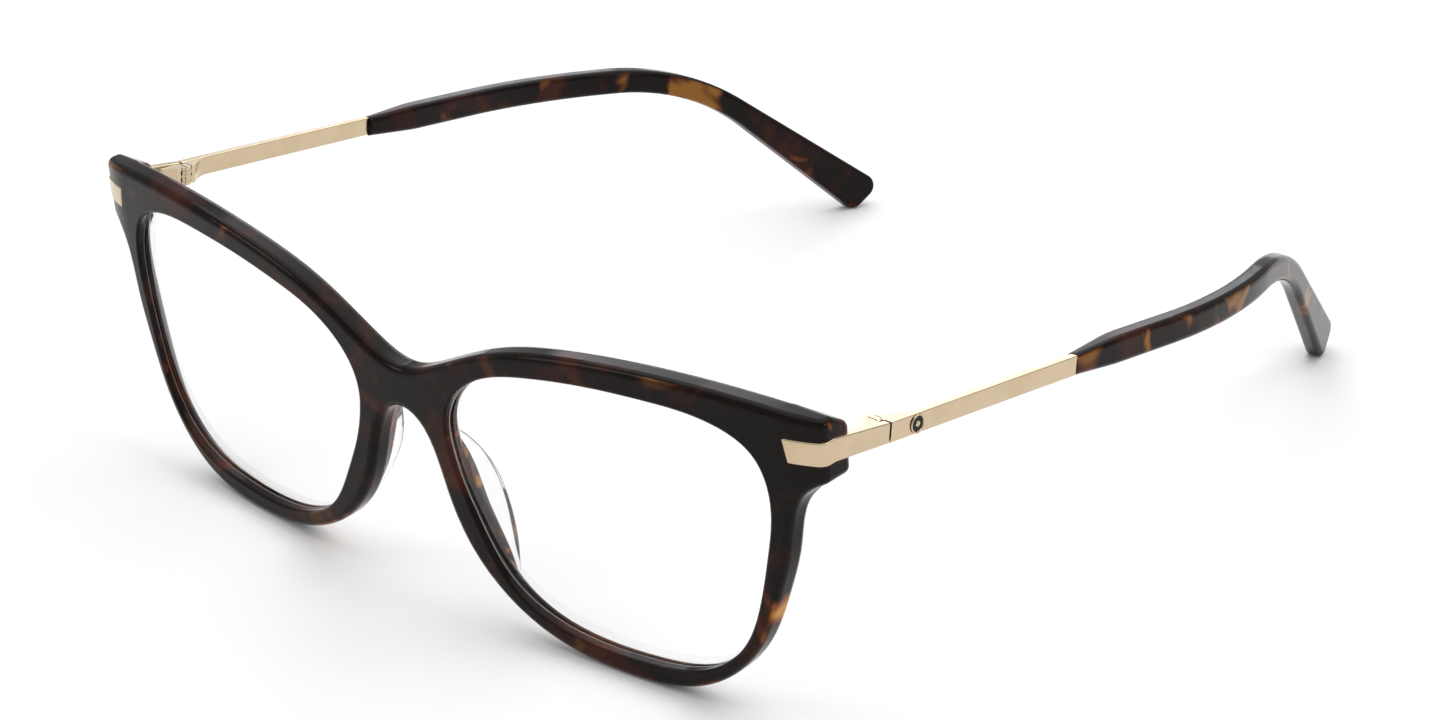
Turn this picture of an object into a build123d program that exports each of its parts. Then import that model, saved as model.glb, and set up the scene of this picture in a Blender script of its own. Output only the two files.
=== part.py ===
"""Eyeglasses frame: curved acetate front, metal end pieces and temple bars, acetate temple tips.

The frame stands open on a table, on the two lower rims and the two tip ends.
+X is the wearer's left, -Y is the way the lenses face, +Z is up.
The origin is the middle of the whole frame's footprint, on the table.
Left-hand pieces are modelled once and mirrored in X for the right-hand side.
"""
from build123d import *
import os
from math import cos, radians, sin, sqrt, tan

os.makedirs("parts", exist_ok=True)

# ---- front, in its own plane: X across, Y depth, Z up from the lens datum line ----
LENS_CENTRE_X = 35.05       # half the distance between the two lens centres
FRONT_HALF_WIDTH = 69.2
FRONT_RADIUS = 341.0        # bend of the front face, seen from above
BEND_START = 63.2           # the ends bend back more sharply from here
END_BEND_RADIUS = 20.0
FRONT_THICKNESS = 3.8
CORNER_RADIUS = 1.5         # outer front corner, seen from above
END_BLOCK_REAR = [(63.3, 9.79), (64.8, 12.9), (69.2, 13.5)]    # the thicker ends, from above
END_BLOCK_RADII = (1.2, 1.4, 1.4)
END_BLOCK_TOP = [(8.2, 23.9), (14.4, 19.9)]    # the ends slope down here, from the side
FRONT_EDGE_RADIUS = 1.1
LIP_RADIUS = 0.4            # front edge of each lens opening
REAR_CHAMFER = 0.7          # rear edge of each lens opening
FRONT_LEAN = 4.37           # the top of the front leans forward, degrees

# ---- lens ----
LENS_RADIUS = 260.0         # front surface of the lens
LENS_THICKNESS = 1.4
LENS_SETBACK = 0.6          # front of the lens behind the front face, at the lens centre
LENS_IN_GROOVE = 0.6        # how far the lens edge reaches past the opening
GROOVE_DEPTH = 0.65
GROOVE_GAP = 0.03           # each side of the lens edge
LENS_OUTLINE_STEPS = 30     # points that a grown outline passes through

# ---- nose ----
BLOCK_REAR = 4.9            # depth where the nose block ends and the clear pad starts
PAD_REAR = 8.6
BLOCK_ROOT = 3.3            # depth where the block is cut to meet the rim
NOSE_SPLAY = 0.35           # the pads open outward by this much for each millimetre of depth
PAD_THINNING = 0.8          # from the front of the clear pad to its rear
PAD_CHAMFER = 0.3

# ---- end piece and hinge ----
PLATE_PROUD = 0.15
PLATE_THICKNESS = 1.2
PLATE_EDGE_RADIUS = 0.2
PLATE_INNER_X = 63.9
PLATE_TOP = 19.9
PLATE_BOTTOM = 16.6
PLATE_LEVEL_DEPTH = 10.0    # the side leg starts to slope down here
PLATE_END_SLANT = 12.0      # degrees
PIN_RADIUS = 0.45
PIN_LENGTH = 1.7
PIN_X = (64.9, 66.9)
HINGE_X = 66.8
HINGE_Y = 18.4              # in the standing frame, before the move to the origin
HINGE_Z = 17.6
TEMPLE_DROP = 5.35          # the temple slopes down towards the ear, degrees
TEMPLE_SPLAY = 0.8          # the temple opens outward towards the ear, degrees
BARREL_RADIUS = 1.1
BARREL_CLEARANCE = 0.12     # between a barrel and the leaf that it turns in
HINGE_HALF_HEIGHT = 1.35
KNUCKLES = 5                # three on the front leaf, two on the temple leaf
KNUCKLE_GAP = 0.04
SCREW_RADIUS = 0.55
SCREW_CLEARANCE = 0.05      # radial, in the temple knuckles
SCREW_HEAD_RADIUS = 0.85
SCREW_HEAD_HEIGHT = 0.4
SCREW_SLOT = 0.25
LEAF_LENGTH = 5.2
FRONT_TOE = 0.2             # the web starts this far from the screw, on the metal
TEMPLE_TOE = 0.95
LEAF_NECK_X = -0.6          # inner side of the web beside the barrel
LEAF_NECK = (0.9, 1.7)      # where that side starts and ends
LEAF_HOLLOW = (0.4, 3.0)    # a point on the curve from there to the web's foot
PLATE_END = 0.6             # past the hinge axis
BAR_START = 0.85

# ---- temple ----
BAR_HALF_HEIGHT = 1.4
BAR_THICKNESS = 1.1
BAR_EDGE_RADIUS = 0.15
BAR_OUTER_X = FRONT_HALF_WIDTH + PLATE_PROUD - HINGE_X
TIP_START = 39.0            # from the hinge axis
TIP_PROUD = 0.4             # the acetate stands this far outside the metal bar
TIP_THICKNESS = 3.0
TIP_EDGE_RADIUS = 0.9
MOUTH_PROUD = 0.15
MOUTH_THICKNESS = 1.9
MOUTH_TAPER = 9.0           # the tip reaches its full size this far behind its mouth
MOUTH_BLEND = 40.0
MOUTH_EDGE_RADIUS = 0.25
CORE_HALF_HEIGHT = 0.8
CORE_THICKNESS = 0.9
CORE_SHARE = 0.75           # of the bent-down stretch
BADGE_RADIUS = 1.3
BADGE_THICKNESS = 0.35
BADGE_PROUD = 0.12
BADGE_FROM_HINGE = 5.9

FAR = 80.0                  # longer than any cut needs to be

# Lens opening about its centre, and half of the front's outline from the bridge outwards.
LENS_SHAPE = [
    (-26.4, 4.3), (-25.1, 10.5), (-19.8, 15.1), (-11.0, 17.9), (-1.0, 19.4), (9.4, 19.95),
    (18.2, 19.3), (24.2, 16.3), (26.45, 10.4), (25.8, 2.5), (24.3, -5.0), (21.2, -12.9),
    (15.2, -18.0), (6.5, -19.8), (-3.0, -19.9), (-10.5, -18.6), (-17.4, -14.7), (-22.3, -7.0),
]
BROW = [(0, 12.6), (8, 15.2), (18, 19.7), (30, 22.4), (42, 23.6), (54, 23.8), (71.5, 22.4)]
LOWER_EDGE = [
    (0, 6.3), (2.8, 5.3), (5.2, 1.9), (7.5, -5.0), (11.0, -11.9), (22.6, -20.6), (36.3, -22.9),
    (49.8, -20.8), (58.2, -13.1), (62.1, -3.5), (63.7, 2.5), (64.8, 9.0), (66.2, 12.0),
    (68.6, 13.8), (71.5, 14.9),
]

# Nose block and pad: nose side and lens side of the section on the rim, top to bottom.
BLOCK_NOSE_SIDE = [(5.2, 3.2), (6.7, -1.0), (8.4, -5.8), (11.4, -11.2), (15.6, -15.8)]
BLOCK_LENS_SIDE = [(15.6, -15.8), (14.0, -11.6), (11.0, -6.0), (8.8, -0.6), (5.2, 3.2)]
# Rear of the clear pad seen from the side: depth and height, top to bottom.
PAD_PROFILE = [(5.6, 3.3), (7.1, 0.0), (8.1, -4.5), (7.8, -8.5), (6.5, -12.5), (5.3, -15.9)]

# Temple tip seen from the side and from above, measured from the hinge axis along the bar.
TIP_UPPER = [(TIP_START, 1.5), (TIP_START + MOUTH_TAPER, 2.1), (102.5, 1.6), (141.1, -23.5)]
TIP_LOWER = [(136.1, -28.15), (104.0, -2.5), (TIP_START + MOUTH_TAPER, -2.0), (TIP_START, -1.6)]
TIP_BEND_RADII = (44.0, 38.0)
TIP_END_RADII = (2.2, 1.8)
INWARD_BEND_Y = 77.0
INWARD_ANGLE = 20.1
INWARD_RADIUS = 90.0


def sagitta(radius, x):
    """Depth of an arc of the given radius at a distance x from its top."""
    return radius - sqrt(radius**2 - x**2)


def pushed(face):
    """A face pushed through both ways, past anything it has to cut."""
    return extrude(face, amount=FAR, both=True)


def front_view(*curves):
    """A closed face drawn in X and Z, from curves that meet end to end."""
    return Plane.XZ * make_face(Curve() + list(curves))


def side_view(*curves):
    """A closed face drawn in Y and Z."""
    return Plane.YZ * make_face(Curve() + list(curves))


def top_view(*curves):
    """A closed face drawn in X and Y."""
    return make_face(Curve() + list(curves))


def mirrored(part):
    return mirror(part, about=Plane.YZ)


def lens_face(grow=0.0):
    """The lens opening's outline, or the same outline grown by an even margin."""
    outline = Spline([(LENS_CENTRE_X + x, z) for x, z in LENS_SHAPE], periodic=True)
    if grow:
        spots = [i / LENS_OUTLINE_STEPS for i in range(LENS_OUTLINE_STEPS)]
        outward = [Vector(-(outline % t).Y, (outline % t).X) for t in spots]
        outline = Spline([outline @ t + grow * out for t, out in zip(spots, outward)], periodic=True)
    return Plane.XZ * make_face(outline)


# ---- front -------------------------------------------------------------------------------------
def bend_line(depth=0.0):
    """Where the sharper end bend starts, on a face that lies this deep in the acetate."""
    share = (FRONT_RADIUS - depth) / FRONT_RADIUS
    return share * BEND_START, FRONT_RADIUS - share * sqrt(FRONT_RADIUS**2 - BEND_START**2)


def face_depth(x, depth=0.0):
    """Depth of the front face, or of a face that lies deeper, at a distance x from the middle."""
    centre_x, centre_y = bend_line(END_BEND_RADIUS)
    if x > bend_line(depth)[0]:
        return centre_y - sqrt((END_BEND_RADIUS - depth) ** 2 - (x - centre_x) ** 2)
    return depth + sagitta(FRONT_RADIUS - depth, x)


def end_arc(start, stop, depth=0.0):
    """An arc of the end bend between two distances from the middle."""
    spots = [start, (start + stop) / 2, stop]
    return ThreePointArc(*[(x, face_depth(x, depth)) for x in spots])


def across(points):
    """A row of points that starts on the middle plane, continued on the other side of it."""
    return [(-x, z) for x, z in reversed(points[1:])] + list(points)


def rounded(face, corner, radius):
    """A flat face with the corner at that place rounded."""
    return fillet(face.vertices().sort_by_distance(corner)[0], radius)


def front_slab():
    """The bent sheet that the front is cut from."""
    half = FRONT_HALF_WIDTH
    start, stop = bend_line(), END_BLOCK_REAR[0]
    end = end_arc(start[0], half)
    block = Polyline(*END_BLOCK_REAR, (half, face_depth(half)))
    front_arc = ThreePointArc((-start[0], start[1]), (0, 0), start)
    rear_arc = ThreePointArc((-stop[0], stop[1]), (0, FRONT_THICKNESS), stop)
    face = top_view(front_arc, end, mirrored(end), rear_arc, block, mirrored(block))
    corners = zip(END_BLOCK_REAR + [(half, face_depth(half))], END_BLOCK_RADII + (CORNER_RADIUS,))
    for (x, y), radius in corners:
        for side in (x, -x):
            face = rounded(face, (side, y, 0), radius)
    return pushed(face)


def front_outline():
    """The front seen from the front, without the lens openings."""
    brow = Spline(across(BROW))
    lower = Spline(across(LOWER_EDGE))
    ends = [Line((x, BROW[-1][1]), (x, LOWER_EDGE[-1][1])) for x in (BROW[-1][0], -BROW[-1][0])]
    return pushed(front_view(brow, lower, *ends))


def on_face(edge, depth):
    """True when an edge lies on the bent face at that depth."""
    return all(abs(face_depth(abs(p.X), depth) - p.Y) < 0.01 for p in (edge @ 0.1, edge @ 0.5, edge @ 0.9))


def is_outline(edge):
    """True for an edge of the front's outline: it runs along the sheet, not through it."""
    start, end = edge @ 0, edge @ 1
    return abs(start.X - end.X) > 1e-6 or abs(start.Y - end.Y) > 1e-6


def both_sides(part):
    return [part, mirrored(part)]


def opening_edges(part, depth):
    """The closed edges of the two lens openings on one bent face."""
    closed = part.edges().filter_by(lambda edge: edge.is_closed and edge.length > LENS_CENTRE_X)
    return closed.filter_by(lambda edge: on_face(edge, depth))


def lens_shell(gap=0.0):
    """A ball-shaped shell that follows the lens, aimed along the front's own normal."""
    x = LENS_CENTRE_X
    normal = Vector(-x, sqrt(FRONT_RADIUS**2 - x**2), 0).normalized()
    centre = Vector(x, sagitta(FRONT_RADIUS, x), 0) + normal * (LENS_SETBACK + LENS_RADIUS)
    shell = Sphere(LENS_RADIUS + gap) - Sphere(LENS_RADIUS - LENS_THICKNESS - gap)
    return Pos(*centre) * shell


def make_lens():
    return lens_shell() & pushed(lens_face(LENS_IN_GROOVE))


def make_front(plate, pins):
    above = Polyline(*END_BLOCK_TOP, (FAR, FAR), close=True)
    front = solid_of(front_slab() & front_outline() - pushed(side_view(above)))
    edges = front.edges().filter_by(is_outline)
    front = front.fillet(FRONT_EDGE_RADIUS, edges)
    for opening in both_sides(pushed(lens_face())):
        front = solid_of(front - opening)
    front = front.fillet(LIP_RADIUS, opening_edges(front, 0.0))
    front = front.chamfer(REAR_CHAMFER, None, opening_edges(front, FRONT_THICKNESS))
    groove = lens_shell(GROOVE_GAP) & pushed(lens_face(GROOVE_DEPTH))
    for cut in (groove, plate, *pins):
        for side in both_sides(cut):
            front = front - side
    return solid_of(front)


def solid_of(shape):
    """The one solid that a cut or a join leaves."""
    solids = shape.solids()
    assert len(solids) == 1, len(solids)
    return solids[0]


# ---- nose blocks and pads ------------------------------------------------------------------------
def nose_section(depth, thin=0.0):
    """The block's section at a depth: two splines that meet at its top and bottom."""
    shift = NOSE_SPLAY * (depth - FRONT_THICKNESS)
    nose_side = [(x + shift, z) for x, z in BLOCK_NOSE_SIDE]
    lens_side = [(x + shift, z) for x, z in BLOCK_LENS_SIDE]
    lens_side[1:-1] = [(x - thin, z) for x, z in lens_side[1:-1]]
    plane = Plane(origin=(0, depth, 0), x_dir=(1, 0, 0), z_dir=(0, -1, 0))
    return plane * make_face(Spline(nose_side) + Spline(lens_side))


def make_nose_block(front):
    block = loft([nose_section(BLOCK_ROOT), nose_section(BLOCK_REAR)], ruled=True)
    return max((block - front).solids(), key=lambda solid: solid.center().Y)


def make_nose_pad():
    """The clear pad: it carries the block's shape on and dies away at its top and bottom."""
    whole = loft([nose_section(BLOCK_REAR), nose_section(PAD_REAR, PAD_THINNING)], ruled=True)
    (top, top_z), (bottom, bottom_z) = PAD_PROFILE[0], PAD_PROFILE[-1]
    front = Polyline((bottom, bottom_z), (0, bottom_z), (0, top_z), (top, top_z))
    pad = solid_of(whole & pushed(side_view(Spline(PAD_PROFILE), front)))
    rear = pad.edges().sort_by(lambda edge: (edge @ 0.5).Y)[-2:]
    return solid_of(chamfer(rear, PAD_CHAMFER))


# ---- end pieces and hinge ------------------------------------------------------------------------
def hinge_on_front():
    """The hinge frame in the front's own plane: Y along the temple, Z along the screw."""
    return Rot(X=-FRONT_LEAN) * Pos(HINGE_X, HINGE_Y, HINGE_Z) * Rot(X=-TEMPLE_DROP)


def make_plate():
    """The L-shaped end piece, let into the front's corner and run back to the hinge."""
    outer_x = FRONT_HALF_WIDTH + PLATE_PROUD
    inner_x = outer_x - PLATE_THICKNESS
    inset = PLATE_THICKNESS - PLATE_PROUD
    outer = end_arc(PLATE_INNER_X, outer_x, -PLATE_PROUD)
    inner = end_arc(PLATE_INNER_X, inner_x, inset)
    leg = Polyline(outer @ 1, (outer_x, FAR), (inner_x, FAR), inner @ 1)
    band = top_view(outer, leg, inner, Line(inner @ 0, outer @ 0))
    band = rounded(band, outer @ 1, CORNER_RADIUS + PLATE_PROUD)
    band = rounded(band, inner @ 1, CORNER_RADIUS - inset)

    rear_top, rear_bottom = [
        (hinge_on_front() * Pos(0, PLATE_END, height)).position
        for height in (BAR_HALF_HEIGHT, -BAR_HALF_HEIGHT)
    ]
    profile = [
        (0, PLATE_TOP), (PLATE_LEVEL_DEPTH, PLATE_TOP), (rear_top.Y, rear_top.Z),
        (rear_bottom.Y, rear_bottom.Z), (PLATE_LEVEL_DEPTH, PLATE_BOTTOM), (0, PLATE_BOTTOM),
    ]
    plate = pushed(band) & pushed(side_view(Polyline(*profile, close=True)))
    slant = Pos(PLATE_INNER_X, 0, PLATE_TOP) * Rot(Y=-PLATE_END_SLANT)
    plate = solid_of(plate - slant * Pos(-FAR / 2, 0, 0) * Box(FAR, FAR, FAR))
    return plate.fillet(PLATE_EDGE_RADIUS, plate.edges())


def make_pins(plate):
    """Two short pins that key the plate's front leg into the acetate."""
    height = (PLATE_TOP + PLATE_BOTTOM) / 2
    pins = []
    for x in PIN_X:
        root = face_depth(x, PLATE_THICKNESS - PLATE_PROUD)
        pin = Rot(X=-90) * Cylinder(PIN_RADIUS, PIN_LENGTH, align=(Align.CENTER, Align.CENTER, Align.MIN))
        pins.append(Pos(x, root, height) * pin - plate)
    return pins


def knuckle_span(level):
    """Lowest and highest point of one knuckle along the screw."""
    pitch = 2 * HINGE_HALF_HEIGHT / KNUCKLES
    low = -HINGE_HALF_HEIGHT + level * pitch
    return low + KNUCKLE_GAP / 2, low + pitch - KNUCKLE_GAP / 2


def barrel(radius, low, high):
    return Pos(0, 0, low) * Cylinder(radius, high - low, align=(Align.CENTER, Align.CENTER, Align.MIN))


def hinge_leaf(face_x, toe, way, levels, bore):
    """One leaf: a curved web on the metal's inner face, and its knuckles round the screw.

    way is -1 for the leaf on the front and +1 for the leaf on the temple.
    """
    foot = (face_x, way * LEAF_LENGTH)
    heel = (face_x, way * toe)
    shoulder, neck = [(LEAF_NECK_X, way * y) for y in LEAF_NECK]
    hollow = ThreePointArc(neck, (LEAF_HOLLOW[0], way * LEAF_HOLLOW[1]), foot)
    web = top_view(hollow, Polyline(foot, heel, (0, 0), shoulder, neck))
    leaf = extrude(web, amount=HINGE_HALF_HEIGHT, both=True)
    leaf -= barrel(BARREL_RADIUS + BARREL_CLEARANCE, -HINGE_HALF_HEIGHT, HINGE_HALF_HEIGHT)
    for level in levels:
        low, high = knuckle_span(level)
        leaf += barrel(BARREL_RADIUS, low, high)
        leaf += Pos(0, 0, (low + high) / 2) * extrude(web, amount=(high - low) / 2, both=True)
    return solid_of(leaf - barrel(bore, -HINGE_HALF_HEIGHT, HINGE_HALF_HEIGHT))


def make_screw():
    """Countersunk slotted screw that runs through all the knuckles."""
    low, high = -HINGE_HALF_HEIGHT, HINGE_HALF_HEIGHT
    head_low = high - SCREW_HEAD_HEIGHT
    head = Pos(0, 0, head_low + SCREW_HEAD_HEIGHT / 2) * Cone(
        SCREW_RADIUS, SCREW_HEAD_RADIUS, SCREW_HEAD_HEIGHT
    )
    slot = Pos(0, 0, high) * Box(3 * SCREW_HEAD_RADIUS, SCREW_SLOT, SCREW_HEAD_HEIGHT)
    return barrel(SCREW_RADIUS, low, high) + head, slot


# ---- temple --------------------------------------------------------------------------------------
def temple_strip(outer_x, thickness, start):
    """A strip that follows the temple's line from above, pushed through in Z."""
    x = outer_x - thickness / 2
    turn = radians(INWARD_ANGLE)
    end = (x - FAR * sin(turn), INWARD_BEND_Y + FAR * cos(turn))
    line = FilletPolyline((x, start), (x, INWARD_BEND_Y), end, radius=INWARD_RADIUS)
    return pushed(trace(line, line_width=thickness))


def tip_side(mouth_x, x, middle_x):
    """One face of the tip from above: it widens behind the mouth, runs straight, then turns in."""
    turn = radians(INWARD_ANGLE)
    bend_y = INWARD_BEND_Y + (x - middle_x) * tan(turn / 2)
    end = (x - FAR * sin(turn), bend_y + FAR * cos(turn))
    points = [(mouth_x, TIP_START), (x, TIP_START + MOUTH_TAPER), (x, bend_y), end]
    return FilletPolyline(*points, radius=[MOUTH_BLEND, INWARD_RADIUS + x - middle_x])


def make_tip():
    """The acetate tip: straight, then bent down and in towards the ear, with a rounded end."""
    corners = TIP_UPPER + TIP_LOWER
    radii = [MOUTH_BLEND, TIP_BEND_RADII[0], *TIP_END_RADII, TIP_BEND_RADII[1], MOUTH_BLEND]
    outline = side_view(FilletPolyline(*corners, radius=radii), Line(corners[-1], corners[0]))
    outer_x = BAR_OUTER_X + TIP_PROUD
    mouth_x = BAR_OUTER_X + MOUTH_PROUD
    middle_x = outer_x - TIP_THICKNESS / 2
    outer = tip_side(mouth_x, outer_x, middle_x)
    inner = tip_side(mouth_x - MOUTH_THICKNESS, outer_x - TIP_THICKNESS, middle_x)
    strip = top_view(outer, inner, Line(outer @ 0, inner @ 0), Line(outer @ 1, inner @ 1))
    tip = solid_of(pushed(strip) & pushed(outline))
    tip = tip.fillet(TIP_EDGE_RADIUS, tip.edges().filter_by(lambda edge: (edge @ 0.5).Y > TIP_START))
    return tip.fillet(MOUTH_EDGE_RADIUS, tip.faces().sort_by(Axis.Y)[0].edges())


def make_core():
    """The thin core that carries the bar on inside the tip."""
    thickness = CORE_THICKNESS
    strip = temple_strip(BAR_OUTER_X - (BAR_THICKNESS - thickness) / 2, thickness, TIP_START)
    ends = [((a[0] + b[0]) / 2, (a[1] + b[1]) / 2) for a, b in zip(TIP_UPPER, reversed(TIP_LOWER))]
    start, bend, end = ends[0], ends[2], ends[3]
    stop = tuple(bend[i] + CORE_SHARE * (end[i] - bend[i]) for i in (0, 1))
    line = FilletPolyline(start, bend, stop, radius=sum(TIP_BEND_RADII) / 2)
    return strip & pushed(Plane.YZ * trace(line, line_width=2 * CORE_HALF_HEIGHT))


def make_bar():
    """The flat metal temple."""
    length = TIP_START - BAR_START
    middle = (BAR_OUTER_X - BAR_THICKNESS / 2, BAR_START + length / 2, 0)
    bar = Pos(*middle) * Box(BAR_THICKNESS, length, 2 * BAR_HALF_HEIGHT)
    return fillet(bar.edges().filter_by(Axis.Y), BAR_EDGE_RADIUS)


def make_badge():
    """A plain enamel disc let into the bar's outer face."""
    disc = Rot(Y=90) * Cylinder(BADGE_RADIUS, BADGE_THICKNESS)
    x = BAR_OUTER_X + BADGE_PROUD - BADGE_THICKNESS / 2
    return Pos(x, BADGE_FROM_HINGE, 0) * disc


# ---- the left side, in place, and its mirror image -----------------------------------------------
FRONT_PLACE = Rot(X=FRONT_LEAN)
HINGE_PLACE = Pos(HINGE_X, HINGE_Y, HINGE_Z) * Rot(X=-TEMPLE_DROP)
TEMPLE_PLACE = HINGE_PLACE * Rot(Z=-TEMPLE_SPLAY)
PLATE_INNER_FACE_X = BAR_OUTER_X - PLATE_THICKNESS
FRONT_LEVELS = range(0, KNUCKLES, 2)
TEMPLE_LEVELS = range(1, KNUCKLES, 2)

plate = make_plate()
pins = make_pins(plate)
front = make_front(plate, pins)
core = make_core()
screw, slot = make_screw()
badge = make_badge()

front_leaf = hinge_leaf(PLATE_INNER_FACE_X, FRONT_TOE, -1, FRONT_LEVELS, SCREW_RADIUS)
temple_leaf = hinge_leaf(
    BAR_OUTER_X - BAR_THICKNESS, TEMPLE_TOE, 1, TEMPLE_LEVELS, SCREW_RADIUS + SCREW_CLEARANCE
)

left_pieces = {
    "lens": FRONT_PLACE * make_lens(),
    "nose_block": FRONT_PLACE * make_nose_block(front),
    "nose_pad": FRONT_PLACE * make_nose_pad(),
    "end_piece": FRONT_PLACE * plate,
    "end_piece_pins": FRONT_PLACE * Compound(children=pins),
    "front_hinge_leaf": HINGE_PLACE * (front_leaf - screw),
    "hinge_screw": HINGE_PLACE * (screw - slot),
    "temple_hinge_leaf": TEMPLE_PLACE * temple_leaf,
    "temple_bar": TEMPLE_PLACE * (make_bar() + core - badge),
    "temple_badge": TEMPLE_PLACE * badge,
    "temple_tip": TEMPLE_PLACE * (make_tip() - core),
}

nodes = {"front": FRONT_PLACE * front}
for name, piece in left_pieces.items():
    nodes[name + "_left"] = piece
    nodes[name + "_right"] = mirrored(piece)

# ---- move the origin to the middle of the footprint, on the table ---------------------------------
boxes = [node.bounding_box() for node in nodes.values()]
front_y = min(box.min.Y for box in boxes)
rear_y = max(box.max.Y for box in boxes)
table_z = min(box.min.Z for box in boxes)
to_origin = Pos(0, -(front_y + rear_y) / 2, -table_z)
for name, node in nodes.items():
    export_step(to_origin * node, f"parts/{name}.step")

hinge = to_origin * HINGE_PLACE
print("hinge", hinge.position, "screw direction", (hinge * Pos(0, 0, 1)).position - hinge.position)
print("move to origin", to_origin.position, "depth", rear_y - front_y)
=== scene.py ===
"""Eyeglasses frame: materials, small details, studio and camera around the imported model.

Lengths are in metres unless a name says mm. Textures run on the object's own coordinates.
"""
import math

import bmesh
import bpy
from mathutils import Euler, Matrix, Vector


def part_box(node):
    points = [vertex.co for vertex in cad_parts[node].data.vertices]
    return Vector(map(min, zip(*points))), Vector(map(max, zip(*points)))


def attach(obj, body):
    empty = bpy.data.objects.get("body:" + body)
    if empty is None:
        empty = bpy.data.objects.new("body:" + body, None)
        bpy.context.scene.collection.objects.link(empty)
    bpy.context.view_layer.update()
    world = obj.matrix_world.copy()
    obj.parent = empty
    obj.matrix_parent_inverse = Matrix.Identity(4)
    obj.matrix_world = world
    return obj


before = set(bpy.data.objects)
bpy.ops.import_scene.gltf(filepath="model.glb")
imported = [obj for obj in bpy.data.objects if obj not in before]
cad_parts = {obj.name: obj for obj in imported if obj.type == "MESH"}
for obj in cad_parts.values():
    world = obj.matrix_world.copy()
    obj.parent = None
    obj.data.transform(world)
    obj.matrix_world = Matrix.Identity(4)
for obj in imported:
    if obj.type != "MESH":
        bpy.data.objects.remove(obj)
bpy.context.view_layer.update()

MM = 0.001
SIDES = ("left", "right")

# ---- camera ----
CAMERA_TARGET = (0.0273, -0.04357, 0.03266)
CAMERA_DISTANCE = 0.46
CAMERA_AZIMUTH = 42.33      # degrees, from the front towards the wearer's left
CAMERA_ELEVATION = 24.27
CAMERA_ROLL = -0.42
CAMERA_LENS_MM = 84.42
CAMERA_SENSOR_MM = 36.0

# ---- studio ----
FLOOR_HALF = 3.0
FLOOR_COLOUR = (0.92, 0.92, 0.92, 1)
WORLD_COLOUR = (0.97, 0.98, 1.0, 1)
WORLD_STRENGTH = 0.53
LIGHTS = {
    # name: (place, size, power in watts, colour)
    "overhead": ((-0.1, 0.3, 1.1), 2.0, 12.8, (1.0, 0.99, 0.98)),
    "front_left": ((-0.9, -0.9, 0.8), 0.6, 1.8, (1.0, 0.98, 0.96)),
    "back_left": ((-0.8, 1.0, 0.6), 0.8, 2.6, (0.93, 0.96, 1.0)),
    "right": ((1.1, 0.2, 0.6), 0.5, 1.6, (1.0, 0.98, 0.95)),
}

# ---- badge trim, as radius and height above the badge in mm ----
BADGE_FACE_NORMAL = 0.9     # least outward part of the normal on the badge's flat face
BADGE_RING = [(1.05, -0.05), (1.32, -0.05), (1.32, 0.06), (1.22, 0.11), (1.12, 0.08), (1.05, 0.0)]
BADGE_BEAD = [(0.01, -0.05), (0.42, -0.05), (0.40, 0.04), (0.30, 0.12), (0.16, 0.17), (0.01, 0.18)]

# ---- painted highlight line where each lens leaves its groove ----
GROOVE_REACH_MM = 0.6
PAINTED_HIGHLIGHT_MM = 0.09         # radius of the painted highlight line
SHARP_ANGLE = 1.0           # radians between two faces at the lens's edge
SAME_POINT_MM = 0.001

# ---- acetate ----
ACETATE_DARK = (0.0065, 0.0038, 0.0034, 1)
ACETATE_RED = (0.050, 0.0105, 0.005, 1)
ACETATE_ORANGE = (0.20, 0.052, 0.011, 1)
ACETATE_AMBER = (0.50, 0.23, 0.04, 1)
ACETATE_IOR = 1.49
ACETATE_SHINE = 0.12        # specular level, for a soft polish
CLOUD_SCALE = 0.09          # noise scales are per mm
PATCH_SCALE = 0.11
PATCH_OFFSET = (31, 7, 12)  # where in the noise the patches are taken
CLOUD_RANGE = (0.50, 0.72)  # ranges of the noise over which a colour comes in
ORANGE_PATCH = (0.585, 0.66)
AMBER_PATCH = (0.64, 0.74)
# painted light along the acetate's edges: an orange line stands in for light coming out through them
PAINTED_EDGE_GLOW_CLOUDS = (0.42, 0.62)
PAINTED_EDGE_GLOW_WIDTH_MM = 0.9         # width of the orange line along the edges, painted light coming out through the rounded acetate
PAINTED_EDGE_GLOW_TURN = (0.985, 0.8)    # cosine of the angle between the face's normal and the softened one
PAINTED_EDGE_GLOW_ORANGE = (0.1, 0.8)    # least and most painted orange light along an edge
PAINTED_EDGE_GLOW_SHARE = 0.75           # of that painted orange light
FLAT_FACE = (0.55, 0.9)     # normal's y on the front and rear faces, which are given few patches: painted light, as only the walls are shown lit through
FLAT_FACE_SHARE = 0.9
TOP_FACE = (0.3, 0.8)       # normal's z on the top faces, which are given no patches: painted light, as top faces are shown not lit through
ACETATE_ROUGHNESS = (0.07, 0.14)
ACETATE_WAVE_MM = 0.012     # height of the polished surface's waves
TIP_PATCH_SHARE = 0.4       # the patches are fainter on the tips

# ---- acetate of a thin piece, such as the nose block ----
THIN_PAINTED_LIGHT_GAIN = 6.0             # how much lighter its body colours get: painted light coming through a thin piece
THIN_SHIFT = 0.09           # how far its patch noise moves up
THIN_PATCH_SCALE = 0.15     # what is added to its patches' noise scale

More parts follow.
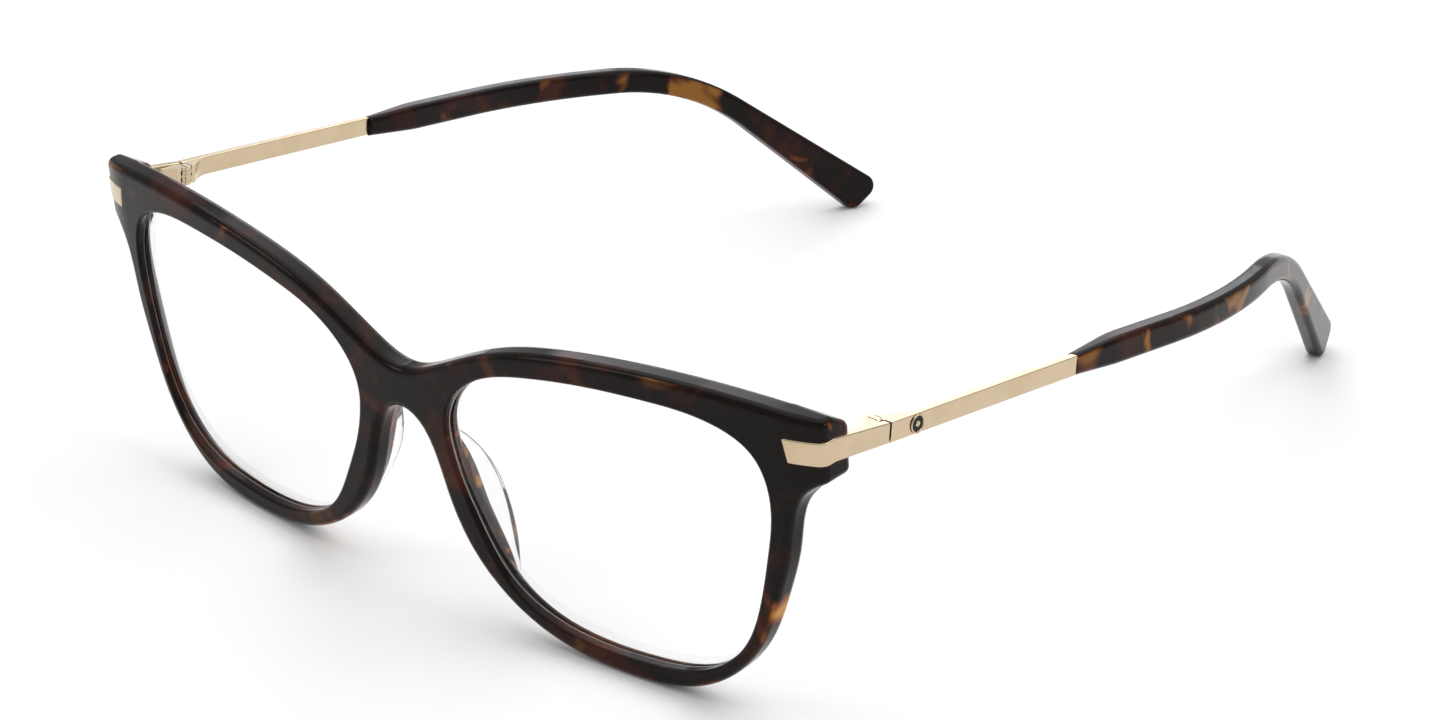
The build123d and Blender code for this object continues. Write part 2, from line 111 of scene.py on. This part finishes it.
# ---- other materials; a pair of colours is what the material wanders between ----
GOLD = ((0.62, 0.49, 0.335, 1), (0.58, 0.455, 0.30, 1))
GOLD_ROUGHNESS = 0.16
SCREW_ROUGHNESS = 0.22
GOLD_ROUGHNESS_SPREAD = (0.8, 1.4)
MARK_STRETCH = (1.0, 0.08, 1.0)     # the polishing marks run along y
MARK_DEPTH_MM = 0.002
LENS_CLEAR = ((0.997, 0.998, 1.0, 1), (0.988, 0.991, 1.0, 1))
LENS_IOR = 1.5
PAD_CLEAR = ((0.985, 0.985, 0.98, 1), (0.95, 0.95, 0.945, 1))
PAD_IOR = 1.35
PAD_ROUGHNESS = (0.01, 0.04)
PAD_SHADOW = (0.9, 0.9, 0.9, 1)
ENAMEL_BLACK = ((0.006, 0.006, 0.007, 1), (0.016, 0.014, 0.013, 1))
ENAMEL_SHINE = 0.15
ENAMEL_ROUGHNESS = (0.12, 0.25)
# painted highlight: the greys of the line that stands in for light caught by each lens's bevel
PAINTED_HIGHLIGHT_GREY = ((0.42, 0.43, 0.47, 1), (0.30, 0.31, 0.34, 1))
PAINTED_HIGHLIGHT_ROUGHNESS = (0.1, 0.25)
FLOOR_SHADE = 0.985         # the floor's darker tone, as a share of its colour
FLOOR_ROUGHNESS = 0.9

# ---- ranges of the noise over which a surface changes ----
HAZE_EVEN = (0.3, 0.7)
HAZE_LATE = (0.35, 0.7)
HAZE_WIDE = (0.2, 0.8)


def new_object(name, data):
    """A new object with this data, in the scene."""
    made = bpy.data.objects.new(name, data)
    bpy.context.scene.collection.objects.link(made)
    return made


class Material:
    """Short calls for building one material's node tree."""

    def __init__(self, name):
        self.data = bpy.data.materials.new(name)
        self.data.use_nodes = True
        self.tree = self.data.node_tree
        self.shader = self.tree.nodes["Principled BSDF"]

    def feed(self, socket, value):
        """Sets one input to a value or to another node's output."""
        if isinstance(value, bpy.types.NodeSocket):
            self.tree.links.new(value, socket)
        else:
            socket.default_value = value

    def set(self, node, **inputs):
        """Feeds a node's inputs by their names, with _ for a space."""
        for name, value in inputs.items():
            self.feed(node.inputs[name.replace("_", " ")], value)
        return node

    def add(self, kind, settings=None, **inputs):
        node = self.tree.nodes.new("ShaderNode" + kind)
        for name, value in (settings or {}).items():
            setattr(node, name, value)
        return self.set(node, **inputs)

    def place_mm(self, stretch=(1, 1, 1), offset=(0, 0, 0)):
        """The object's own coordinates in millimetres."""
        coordinates = self.add("TexCoord")
        scale = [value / MM for value in stretch]
        mapping = self.add("Mapping", Vector=coordinates.outputs["Object"], Scale=scale,
                           Location=offset)
        return mapping.outputs["Vector"]

    def noise(self, scale, detail=2.0, roughness=0.5, distortion=0.0, **place):
        node = self.add("TexNoise", Vector=self.place_mm(**place), Scale=scale, Detail=detail,
                        Roughness=roughness, Distortion=distortion)
        return node.outputs["Fac"]

    def between(self, value, low, high, to_low=0.0, to_high=1.0):
        """A smooth step of value from low to high."""
        node = self.add("MapRange", {"interpolation_type": "SMOOTHSTEP"}, Value=value)
        self.set(node, From_Min=low, From_Max=high, To_Min=to_low, To_Max=to_high)
        return node.outputs["Result"]

    def maths(self, operation, first, second=0.0):
        node = self.add("Math", {"operation": operation})
        for socket, value in zip(node.inputs, (first, second)):
            self.feed(socket, value)
        return node.outputs["Value"]

    def mix(self, share, first, second):
        """A colour that goes from first to second as share goes from 0 to 1."""
        node = self.add("Mix", {"data_type": "RGBA"})
        colours = [socket for socket in node.inputs if socket.type == "RGBA"]
        for socket, value in zip([node.inputs["Factor"], *colours], (share, first, second)):
            self.feed(socket, value)
        return next(socket for socket in node.outputs if socket.type == "RGBA")

    def bump(self, height, depth_mm):
        node = self.add("Bump", Height=height, Strength=1.0, Distance=depth_mm * MM)
        self.set(self.shader, Normal=node.outputs["Normal"])


def acetate(name, patch_share=1.0, thinness=0.0):
    """Polished dark tortoiseshell: near black, with red-brown clouds and amber patches. The patches are
    its own pattern, but showing them mostly on its walls is painted light coming through the walls, and
    the orange line along its edges is painted light coming out through the rounded acetate.

    A thin piece lets more light through, which is painted in as lighter clouds and patches all over it.
    """
    mat = Material(name)
    clouds = mat.noise(scale=CLOUD_SCALE, detail=3.0, distortion=0.8)
    patches = mat.noise(scale=PATCH_SCALE + THIN_PATCH_SCALE * thinness, detail=1.5, roughness=0.4,
                        distortion=1.2, offset=PATCH_OFFSET)
    geometry = mat.add("NewGeometry")
    # painted light along the edges: orange, for light coming out through the rounded acetate
    soft_edge = mat.add("Bevel", {"samples": 6}, Radius=PAINTED_EDGE_GLOW_WIDTH_MM * MM)
    turned = mat.add("VectorMath", {"operation": "DOT_PRODUCT"})
    for socket, source in zip(turned.inputs, (soft_edge, geometry)):
        mat.feed(socket, source.outputs["Normal"])
    edge = mat.between(turned.outputs["Value"], *PAINTED_EDGE_GLOW_TURN)
    # the patches are the acetate's own pattern, but showing them mostly on the walls, few on the front
    # and rear faces and none on the top faces is painted light coming through the walls
    facing = mat.add("SeparateXYZ", Vector=geometry.outputs["Normal"])
    flat_face = mat.between(mat.maths("ABSOLUTE", facing.outputs["Y"]), *FLAT_FACE)
    flat_face = mat.maths("MULTIPLY", flat_face, FLAT_FACE_SHARE)
    top = mat.between(facing.outputs["Z"], *TOP_FACE)
    wall = mat.maths("SUBTRACT", 1.0, mat.maths("MAXIMUM", flat_face, top))
    # painted light: a thin piece gets lighter body colours and patches all over, for the light coming
    # through it
    body = [tuple(value * (1 + THIN_PAINTED_LIGHT_GAIN * thinness) for value in shade[:3]) + (1,)
            for shade in (ACETATE_DARK, ACETATE_RED)]
    colour = mat.mix(mat.between(clouds, *CLOUD_RANGE), *body)
    painted_edge_light = mat.maths("MULTIPLY", edge, mat.between(clouds, *PAINTED_EDGE_GLOW_CLOUDS, *PAINTED_EDGE_GLOW_ORANGE))
    colour = mat.mix(mat.maths("MULTIPLY", painted_edge_light, PAINTED_EDGE_GLOW_SHARE), colour, ACETATE_ORANGE)
    share = mat.maths("MULTIPLY", mat.maths("MAXIMUM", wall, thinness), patch_share)
    patches = mat.maths("ADD", patches, THIN_SHIFT * thinness)
    for limits, patch in ((ORANGE_PATCH, ACETATE_ORANGE), (AMBER_PATCH, ACETATE_AMBER)):
        colour = mat.mix(mat.maths("MULTIPLY", mat.between(patches, *limits), share), colour, patch)
    smear = mat.noise(scale=0.35, detail=4.0)
    mat.set(mat.shader, Base_Color=colour, IOR=ACETATE_IOR, Specular_IOR_Level=ACETATE_SHINE,
            Roughness=mat.between(smear, *HAZE_EVEN, *ACETATE_ROUGHNESS))
    mat.bump(mat.noise(scale=0.2, detail=1.0), ACETATE_WAVE_MM)
    return mat.data


def gold(name, roughness):
    """Pale champagne gold plating, polished, with faint cloudiness and fine polishing marks."""
    mat = Material(name)
    haze = mat.noise(scale=0.25, detail=3.0)
    marks = mat.noise(scale=2.0, detail=4.0, stretch=MARK_STRETCH)
    spread = [roughness * share for share in GOLD_ROUGHNESS_SPREAD]
    mat.set(mat.shader, Base_Color=mat.mix(mat.between(haze, *HAZE_LATE), *GOLD), Metallic=1.0,
            Roughness=mat.between(marks, *HAZE_WIDE, *spread))
    mat.bump(marks, MARK_DEPTH_MM)
    return mat.data


def clear_lens(name):
    """Clear lens plastic that lets the studio light through, with a hint of blue."""
    mat = Material(name)
    film = mat.noise(scale=0.05, detail=2.0)
    tint = mat.mix(mat.between(film, *HAZE_EVEN), *LENS_CLEAR)
    mat.set(mat.shader, Base_Color=tint, Transmission_Weight=1.0, Roughness=0.0, IOR=LENS_IOR)
    lets_light_through(mat)
    return mat.data


def lets_light_through(mat, tint=(1, 1, 1, 1)):
    """Lamps shine through the material, as they do through thin clear plastic."""
    path = mat.add("LightPath")
    clear = mat.add("BsdfTransparent", Color=tint)
    both = mat.add("MixShader", Fac=path.outputs["Is Shadow Ray"])
    mat.feed(both.inputs[1], mat.shader.outputs["BSDF"])
    mat.feed(both.inputs[2], clear.outputs["BSDF"])
    mat.feed(mat.tree.nodes["Material Output"].inputs["Surface"], both.outputs["Shader"])


def clear_pad(name):
    """Clear acetate nose pad, very slightly cloudy."""
    mat = Material(name)
    cloud = mat.noise(scale=0.3, detail=3.0)
    tint = mat.mix(mat.between(cloud, *HAZE_EVEN), *PAD_CLEAR)
    mat.set(mat.shader, Base_Color=tint, Transmission_Weight=1.0, IOR=PAD_IOR,
            Roughness=mat.between(cloud, *HAZE_WIDE, *PAD_ROUGHNESS))
    lets_light_through(mat, PAD_SHADOW)
    return mat.data


def enamel(name):
    """Glossy black enamel with a trace of polishing haze."""
    mat = Material(name)
    haze = mat.noise(scale=1.2, detail=3.0)
    colour = mat.mix(mat.between(haze, *HAZE_LATE), *ENAMEL_BLACK)
    mat.set(mat.shader, Base_Color=colour, Specular_IOR_Level=ENAMEL_SHINE,
            Roughness=mat.between(haze, *HAZE_WIDE, *ENAMEL_ROUGHNESS))
    return mat.data


def painted_lens_highlight(name):
    """A painted highlight: a grey line standing in for the light that the lens's polished bevel
    catches.
    """
    mat = Material(name)
    haze = mat.noise(scale=0.5, detail=2.0)
    colour = mat.mix(mat.between(haze, *HAZE_EVEN), *PAINTED_HIGHLIGHT_GREY)
    mat.set(mat.shader, Base_Color=colour,
            Roughness=mat.between(haze, *HAZE_WIDE, *PAINTED_HIGHLIGHT_ROUGHNESS))
    return mat.data


def floor_white(name):
    """Matt white paper, with a trace of unevenness."""
    mat = Material(name)
    fibre = mat.noise(scale=0.4, detail=4.0)
    shade = tuple(FLOOR_SHADE * value for value in FLOOR_COLOUR[:3]) + (1,)
    mat.set(mat.shader, Base_Color=mat.mix(fibre, FLOOR_COLOUR, shade), Roughness=FLOOR_ROUGHNESS,
            Specular_IOR_Level=0.0)
    return mat.data


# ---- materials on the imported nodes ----
polished_gold = gold("gold_metal", GOLD_ROUGHNESS)
screw_gold = gold("screw_metal", SCREW_ROUGHNESS)

FINISHES = {
    "front": acetate("front_acetate"),
    "nose_block": acetate("block_acetate", thinness=1.0),
    "temple_tip": acetate("tip_acetate", TIP_PATCH_SHARE),
    "lens": clear_lens("clear_lens"),
    "nose_pad": clear_pad("clear_pad"),
    "end_piece": polished_gold,
    "end_piece_pins": screw_gold,
    "front_hinge_leaf": polished_gold,
    "hinge_screw": screw_gold,
    "temple_hinge_leaf": polished_gold,
    "temple_bar": polished_gold,
    "temple_badge": enamel("badge_enamel"),
}


def base_name(node):
    """A node's name without its side."""
    for side in SIDES:
        node = node.removesuffix("_" + side)
    return node


for name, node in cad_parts.items():
    node.data.materials.clear()
    node.data.materials.append(FINISHES[base_name(name)])


# ---- badge trim ----
def lathe(name, profile, steps=48):
    """A ring turned about Z from a closed profile of (radius, height) points."""
    mesh = bmesh.new()
    rings = []
    for step in range(steps):
        turn = 2 * math.pi * step / steps
        rings.append([mesh.verts.new((r * math.cos(turn), r * math.sin(turn), z)) for r, z in profile])
    count = len(profile)
    for here, after in zip(rings, rings[1:] + rings[:1]):
        for i in range(count):
            mesh.faces.new((here[i], after[i], after[(i + 1) % count], here[(i + 1) % count]))
    bmesh.ops.recalc_face_normals(mesh, faces=mesh.faces)
    data = bpy.data.meshes.new(name)
    mesh.to_mesh(data)
    mesh.free()
    for polygon in data.polygons:
        polygon.use_smooth = True
    data.materials.append(polished_gold)
    return new_object(name, data)


def trim_badge(side):
    """A gold ring round the badge and a plain gold bead in its middle."""
    low, high = (Vector(corner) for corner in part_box("temple_badge_" + side))
    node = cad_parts["temple_badge_" + side]
    normal = badge_normal(node, 1 if side == "left" else -1)
    corners = [node.matrix_world @ corner.co for corner in node.data.vertices]
    face = max(corners, key=lambda corner: corner.dot(normal))
    middle = (low + high) / 2
    place = middle + normal * (face - middle).dot(normal)
    aim = normal.to_track_quat("Z", "Y").to_matrix().to_4x4()
    for name, profile in (("badge_ring_", BADGE_RING), ("badge_bead_", BADGE_BEAD)):
        piece = lathe(name + side, [(radius * MM, height * MM) for radius, height in profile])
        piece.matrix_world = Matrix.Translation(place) @ aim
        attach(piece, side + "_temple")


def badge_normal(node, outward):
    """The direction that the badge's flat outer face looks in; outward is the sign of x on its side."""
    faces = [p for p in node.data.polygons if p.normal.x * outward > BADGE_FACE_NORMAL]
    return sum((p.normal * p.area for p in faces), Vector()).normalized()


for side in SIDES:
    trim_badge(side)


# ---- painted highlight lines on the lens bevels ----
def front_loop(node):
    """The points of the sharp edge round the front of a lens, in order."""
    mesh = bmesh.new()
    mesh.from_mesh(node.data)
    bmesh.ops.remove_doubles(mesh, verts=mesh.verts, dist=SAME_POINT_MM * MM)
    sharp = [edge for edge in mesh.edges if edge.calc_face_angle(0) > SHARP_ANGLE]
    beside = {}
    for edge in sharp:
        first, second = edge.verts
        beside.setdefault(first, []).append(second)
        beside.setdefault(second, []).append(first)
    loops = []
    while beside:
        vert = next(iter(beside))
        loop = []
        while vert is not None:
            loop.append(vert.co.copy())
            after = beside.pop(vert)
            vert = next((other for other in after if other in beside), None)
        loops.append(loop)
    mesh.free()
    loops = sorted(loops, key=len)[-2:]
    return min(loops, key=lambda loop: sum(point.y for point in loop) / len(loop))


def add_painted_lens_highlight(side):
    """A thin grey line along the lens where it leaves the acetate, a painted highlight on the lens's
    edge.
    """
    points = front_loop(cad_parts["lens_" + side])
    middle = sum(points, Vector()) / len(points)
    data = bpy.data.curves.new("painted_lens_highlight_" + side, "CURVE")
    data.dimensions = "3D"
    data.bevel_depth = PAINTED_HIGHLIGHT_MM * MM
    data.bevel_resolution = 2
    spline = data.splines.new("POLY")
    spline.points.add(len(points) - 1)
    spline.use_cyclic_u = True
    for i, point in enumerate(points):
        along = points[(i + 1) % len(points)] - points[i - 1]
        inward = along.cross(Vector((0, 1, 0))).normalized()
        inward *= math.copysign(GROOVE_REACH_MM * MM, inward.dot(middle - point))
        spline.points[i].co = (*(point + inward), 1)
    data.materials.append(painted_highlight_material)
    line = new_object("painted_lens_highlight_" + side, data)
    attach(line, "front_body")


painted_highlight_material = painted_lens_highlight("painted_lens_highlight")
for side in SIDES:
    add_painted_lens_highlight(side)


# ---- studio objects ----
def make_floor():
    data = bpy.data.meshes.new("floor")
    corners = [(x * FLOOR_HALF, y * FLOOR_HALF, 0) for x, y in ((-1, -1), (1, -1), (1, 1), (-1, 1))]
    data.from_pydata(corners, [], [(0, 1, 2, 3)])
    floor = new_object("floor", data)
    data.materials.append(floor_white("floor_white"))


def make_lights():
    for name, (place, size, power, colour) in LIGHTS.items():
        light = bpy.data.lights.new(name, "AREA")
        light.shape = "DISK"
        light.size = size
        light.energy = power
        light.color = colour
        lamp = new_object(name, light)
        lamp.location = place
        lamp.rotation_euler = Vector(place).to_track_quat("Z", "Y").to_euler()


def make_world():
    world = bpy.data.worlds.new("studio")
    world.use_nodes = True
    background = world.node_tree.nodes["Background"]
    background.inputs["Color"].default_value = WORLD_COLOUR
    background.inputs["Strength"].default_value = WORLD_STRENGTH
    bpy.context.scene.world = world


def make_camera():
    data = bpy.data.cameras.new("camera")
    data.lens = CAMERA_LENS_MM
    data.sensor_width = CAMERA_SENSOR_MM
    camera = new_object("camera", data)
    aim = Euler((math.radians(90 - CAMERA_ELEVATION), 0, math.radians(CAMERA_AZIMUTH))).to_matrix()
    aim = aim @ Matrix.Rotation(math.radians(CAMERA_ROLL), 3, "Z")
    place = Vector(CAMERA_TARGET) + aim @ Vector((0, 0, CAMERA_DISTANCE))
    camera.matrix_world = Matrix.Translation(place) @ aim.to_4x4()
    bpy.context.scene.camera = camera


make_floor()
make_lights()
make_world()
make_camera()
bpy.context.scene.view_settings.view_transform = "Standard"
